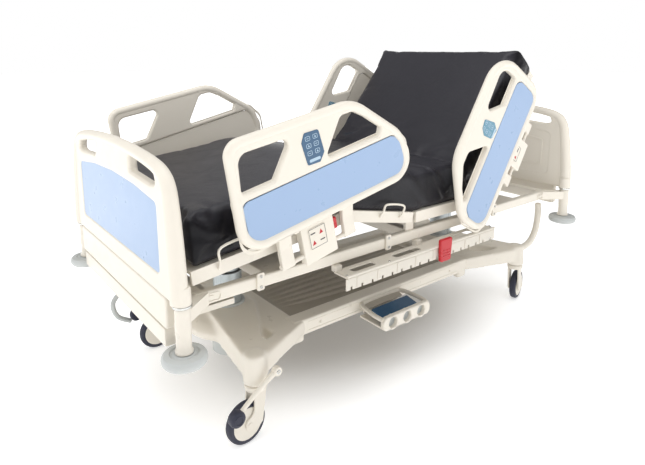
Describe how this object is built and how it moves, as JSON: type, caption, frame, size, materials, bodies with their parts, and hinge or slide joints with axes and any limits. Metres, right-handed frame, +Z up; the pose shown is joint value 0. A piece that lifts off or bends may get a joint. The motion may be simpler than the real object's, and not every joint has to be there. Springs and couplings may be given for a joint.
{
  "type": "adjustable hospital bed",
  "caption": "Electric hospital bed: wheeled two-column base, sectioned deck with mattress, moulded end boards and folding siderails.",
  "frame": {"origin": "on the floor under the middle of the bed, at the centre of its bounding box", "axes": "+X along the bed towards the head end, +Y towards the bed's right side, +Z up"},
  "size_m": [2.254, 1.094, 1.3248],
  "materials": {
    "ivory_paint": "satin powder coat",
    "ivory_plastic": "fine moulded texture",
    "blue_panel": "semi-gloss laminate",
    "grey_plastic": "matt",
    "taupe_plastic": "matt",
    "column_metal": "anodised",
    "tyre_rubber": "matt",
    "mattress_cover": "coated stretch fabric",
    "red_plastic": "gloss",
    "steel": "bright",
    "navy_plastic": "gloss"
  },
  "bodies": {
    "base": {"base_chassis": "ivory_paint", "base_tray": "taupe_plastic", "column_sleeve_foot": "grey_plastic", "column_sleeve_head": "grey_plastic", "foot_control_guard": "ivory_plastic"},
    "column_stage_foot": {"column_stage_foot": "column_metal"},
    "column_stage_head": {"column_stage_head": "column_metal"},
    "deck_frame": {"mid_frame": "ivory_paint", "column_ram_foot": "column_metal", "column_ram_head": "column_metal", "seat_deck": "ivory_paint", "mattress_seat": "mattress_cover", "accessory_rail_left": "ivory_paint", "accessory_rail_right": "ivory_paint", "back_actuator": "grey_plastic", "knee_actuator": "grey_plastic"},
    "back_section": {"back_deck": "ivory_paint", "mattress_back": "mattress_cover"},
    "thigh_section": {"thigh_deck": "ivory_paint", "mattress_thigh": "mattress_cover"},
    "calf_section": {"calf_deck": "ivory_paint", "mattress_calf": "mattress_cover"},
    "footboard": {"footboard": "ivory_plastic", "footboard_insert": "blue_panel"},
    "headboard": {"headboard": "ivory_plastic", "headboard_insert": "blue_panel"},
    "linen_shelf": {"linen_shelf": "ivory_paint"},
    "cpr_handle": {"cpr_handle": "red_plastic"},
    "foot_switch": {"foot_switch": "navy_plastic"},
    "brake_pedal_left": {"brake_pedal_left": "ivory_paint"},
    "brake_pedal_right": {"brake_pedal_right": "steel"},
    "steer_hoop": {"steer_hoop": "steel"},
    "rail_arms_foot_left": {"rail_arms_foot_left": "ivory_paint"},
    "siderail_foot_left": {"rail_panel_foot_left": "ivory_plastic", "rail_insert_foot_left": "blue_panel"},
    "rail_arms_foot_right": {"rail_arms_foot_right": "ivory_paint"},
    "siderail_foot_right": {"rail_panel_foot_right": "ivory_plastic", "rail_insert_foot_right": "blue_panel"},
    "rail_arms_head_left": {"rail_arms_head_left": "ivory_paint"},
    "siderail_head_left": {"rail_panel_head_left": "ivory_plastic", "rail_insert_head_left": "blue_panel"},
    "rail_arms_head_right": {"rail_arms_head_right": "ivory_paint"},
    "siderail_head_right": {"rail_panel_head_right": "ivory_plastic", "rail_insert_head_right": "blue_panel"},
    "bumper_foot_left": {"bumper_foot_left": "grey_plastic"},
    "bumper_foot_right": {"bumper_foot_right": "grey_plastic"},
    "bumper_head_left": {"bumper_head_left": "grey_plastic"},
    "bumper_head_right": {"bumper_head_right": "grey_plastic"},
    "castor_foot_left": {"castor_fork_foot_left": "ivory_paint"},
    "wheel_foot_left": {"tyre_foot_left": "tyre_rubber", "wheel_hub_foot_left": "ivory_plastic"},
    "castor_foot_right": {"castor_fork_foot_right": "ivory_paint"},
    "wheel_foot_right": {"tyre_foot_right": "tyre_rubber", "wheel_hub_foot_right": "ivory_plastic"},
    "castor_head_left": {"castor_fork_head_left": "ivory_paint"},
    "wheel_head_left": {"tyre_head_left": "tyre_rubber", "wheel_hub_head_left": "ivory_plastic"},
    "castor_head_right": {"castor_fork_head_right": "ivory_paint"},
    "wheel_head_right": {"tyre_head_right": "tyre_rubber", "wheel_hub_head_right": "ivory_plastic"}
  },
  "joints": [
    {"name": "lift", "type": "slide", "parent": "base", "child": "deck_frame", "axis": [0, 0, 1], "range_m": [-0.12, 0.22]},
    {"name": "column_foot_extend", "type": "slide", "parent": "base", "child": "column_stage_foot", "axis": [0, 0, 1], "range_m": [-0.06, 0.11]},
    {"name": "column_head_extend", "type": "slide", "parent": "base", "child": "column_stage_head", "axis": [0, 0, 1], "range_m": [-0.06, 0.11]},
    {"name": "back_raise", "type": "hinge", "parent": "deck_frame", "child": "back_section", "pos_m": [0.322, 0, 0.655], "axis": [0, -1, 0], "range_deg": [-52, 13]},
    {"name": "thigh_raise", "type": "hinge", "parent": "deck_frame", "child": "thigh_section", "pos_m": [-0.04, 0, 0.655], "axis": [0, 1, 0], "range_deg": [-12, 18]},
    {"name": "knee_bend", "type": "hinge", "parent": "thigh_section", "child": "calf_section", "pos_m": [-0.39996, 0, 0.73151], "axis": [0, 1, 0], "range_deg": [-28.7, 19.1]},
    {"name": "rail_foot_left_swing", "type": "hinge", "parent": "calf_section", "child": "rail_arms_foot_left", "pos_m": [-0.48142, -0.462, 0.67131], "axis": [0.977, 0, 0.213], "range_deg": [0, 130]},
    {"name": "rail_foot_left_level", "type": "hinge", "parent": "rail_arms_foot_left", "child": "siderail_foot_left", "pos_m": [-0.50804, -0.474, 0.79344], "axis": [0.977, 0, 0.213], "range_deg": [-130, 0]},
    {"name": "rail_foot_right_swing", "type": "hinge", "parent": "calf_section", "child": "rail_arms_foot_right", "pos_m": [-0.48142, 0.462, 0.67131], "axis": [-0.977, 0, -0.213], "range_deg": [0, 130]},
    {"name": "rail_foot_right_level", "type": "hinge", "parent": "rail_arms_foot_right", "child": "siderail_foot_right", "pos_m": [-0.50804, 0.474, 0.79344], "axis": [-0.977, 0, -0.213], "range_deg": [-130, 0]},
    {"name": "rail_head_left_swing", "type": "hinge", "parent": "back_section", "child": "rail_arms_head_left", "pos_m": [0.58921, -0.462, 0.77427], "axis": [0.5299, 0, 0.848], "range_deg": [0, 130]},
    {"name": "rail_head_left_level", "type": "hinge", "parent": "rail_arms_head_left", "child": "siderail_head_left", "pos_m": [0.48321, -0.474, 0.84051], "axis": [0.5299, 0, 0.848], "range_deg": [-130, 0]},
    {"name": "rail_head_right_swing", "type": "hinge", "parent": "back_section", "child": "rail_arms_head_right", "pos_m": [0.58921, 0.462, 0.77427], "axis": [-0.5299, 0, -0.848], "range_deg": [0, 130]},
    {"name": "rail_head_right_level", "type": "hinge", "parent": "rail_arms_head_right", "child": "siderail_head_right", "pos_m": [0.48321, 0.474, 0.84051], "axis": [-0.5299, 0, -0.848], "range_deg": [-130, 0]},
    {"name": "bumper_foot_left_roll", "type": "hinge", "parent": "deck_frame", "child": "bumper_foot_left", "pos_m": [-1.06, -0.48, 0.447], "axis": [0, 0, 1], "continuous": true},
    {"name": "bumper_foot_right_roll", "type": "hinge", "parent": "deck_frame", "child": "bumper_foot_right", "pos_m": [-1.06, 0.48, 0.447], "axis": [0, 0, 1], "continuous": true},
    {"name": "bumper_head_left_roll", "type": "hinge", "parent": "deck_frame", "child": "bumper_head_left", "pos_m": [1.06, -0.48, 0.447], "axis": [0, 0, 1], "continuous": true},
    {"name": "bumper_head_right_roll", "type": "hinge", "parent": "deck_frame", "child": "bumper_head_right", "pos_m": [1.06, 0.48, 0.447], "axis": [0, 0, 1], "continuous": true},
    {"name": "castor_foot_left_swivel", "type": "hinge", "parent": "base", "child": "castor_foot_left", "pos_m": [-0.772, -0.388, 0.2], "axis": [0, 0, 1], "continuous": true},
    {"name": "wheel_foot_left_roll", "type": "hinge", "parent": "castor_foot_left", "child": "wheel_foot_left", "pos_m": [-0.81683, -0.39192, 0.075], "axis": [0.0872, -0.9962, 0], "continuous": true},
    {"name": "castor_foot_right_swivel", "type": "hinge", "parent": "base", "child": "castor_foot_right", "pos_m": [-0.772, 0.388, 0.2], "axis": [0, 0, 1], "continuous": true},
    {"name": "wheel_foot_right_roll", "type": "hinge", "parent": "castor_foot_right", "child": "wheel_foot_right", "pos_m": [-0.817, 0.388, 0.075], "axis": [0, -1, 0], "continuous": true},
    {"name": "castor_head_left_swivel", "type": "hinge", "parent": "base", "child": "castor_head_left", "pos_m": [0.852, -0.352, 0.2], "axis": [0, 0, 1], "continuous": true},
    {"name": "wheel_head_left_roll", "type": "hinge", "parent": "castor_head_left", "child": "wheel_head_left", "pos_m": [0.89526, -0.3396, 0.075], "axis": [-0.2756, 0.9613, 0], "continuous": true},
    {"name": "castor_head_right_swivel", "type": "hinge", "parent": "base", "child": "castor_head_right", "pos_m": [0.852, 0.352, 0.2], "axis": [0, 0, 1], "continuous": true},
    {"name": "wheel_head_right_roll", "type": "hinge", "parent": "castor_head_right", "child": "wheel_head_right", "pos_m": [0.89632, 0.35981, 0.075], "axis": [-0.1736, 0.9848, 0], "continuous": true},
    {"name": "brake_pedal_left", "type": "hinge", "parent": "base", "child": "brake_pedal_left", "pos_m": [-0.725, -0.449, 0.258], "axis": [0, -1, 0], "range_deg": [-10, 10]},
    {"name": "brake_pedal_right", "type": "hinge", "parent": "base", "child": "brake_pedal_right", "pos_m": [-0.725, 0.449, 0.258], "axis": [0, -1, 0], "range_deg": [-10, 10]},
    {"name": "steer_hoop_tilt", "type": "hinge", "parent": "base", "child": "steer_hoop", "pos_m": [-0.775, 0.478, 0.285], "axis": [0, -1, 0], "range_deg": [-8, 8]},
    {"name": "foot_switch_press", "type": "hinge", "parent": "base", "child": "foot_switch", "pos_m": [-0.095, -0.36, 0.272], "axis": [1, 0, 0], "range_deg": [-4, 4], "stiffness_Nm_per_rad": 20},
    {"name": "linen_shelf_pull", "type": "slide", "parent": "deck_frame", "child": "linen_shelf", "axis": [-1, 0, 0], "range_m": [0, 0.2]},
    {"name": "cpr_handle_pull", "type": "hinge", "parent": "deck_frame", "child": "cpr_handle", "pos_m": [0.066, -0.511, 0.56], "axis": [-1, 0, 0], "range_deg": [0, 35], "stiffness_Nm_per_rad": 1},
    {"name": "footboard_lift_off", "type": "slide", "parent": "deck_frame", "child": "footboard", "axis": [0, 0, 1], "range_m": [0, 0.15]},
    {"name": "headboard_lift_off", "type": "slide", "parent": "deck_frame", "child": "headboard", "axis": [0, 0, 1], "range_m": [0, 0.15]}
  ],
  "couplings": [
    {"joint": "column_foot_extend", "follows": "lift", "ratio": 0.5},
    {"joint": "column_head_extend", "follows": "lift", "ratio": 0.5},
    {"joint": "knee_bend", "follows": "thigh_raise", "ratio": -1.588},
    {"joint": "rail_foot_left_level", "follows": "rail_foot_left_swing", "ratio": -1},
    {"joint": "rail_foot_right_level", "follows": "rail_foot_right_swing", "ratio": -1},
    {"joint": "rail_head_left_level", "follows": "rail_head_left_swing", "ratio": -1},
    {"joint": "rail_head_right_level", "follows": "rail_head_right_swing", "ratio": -1}
  ]
}
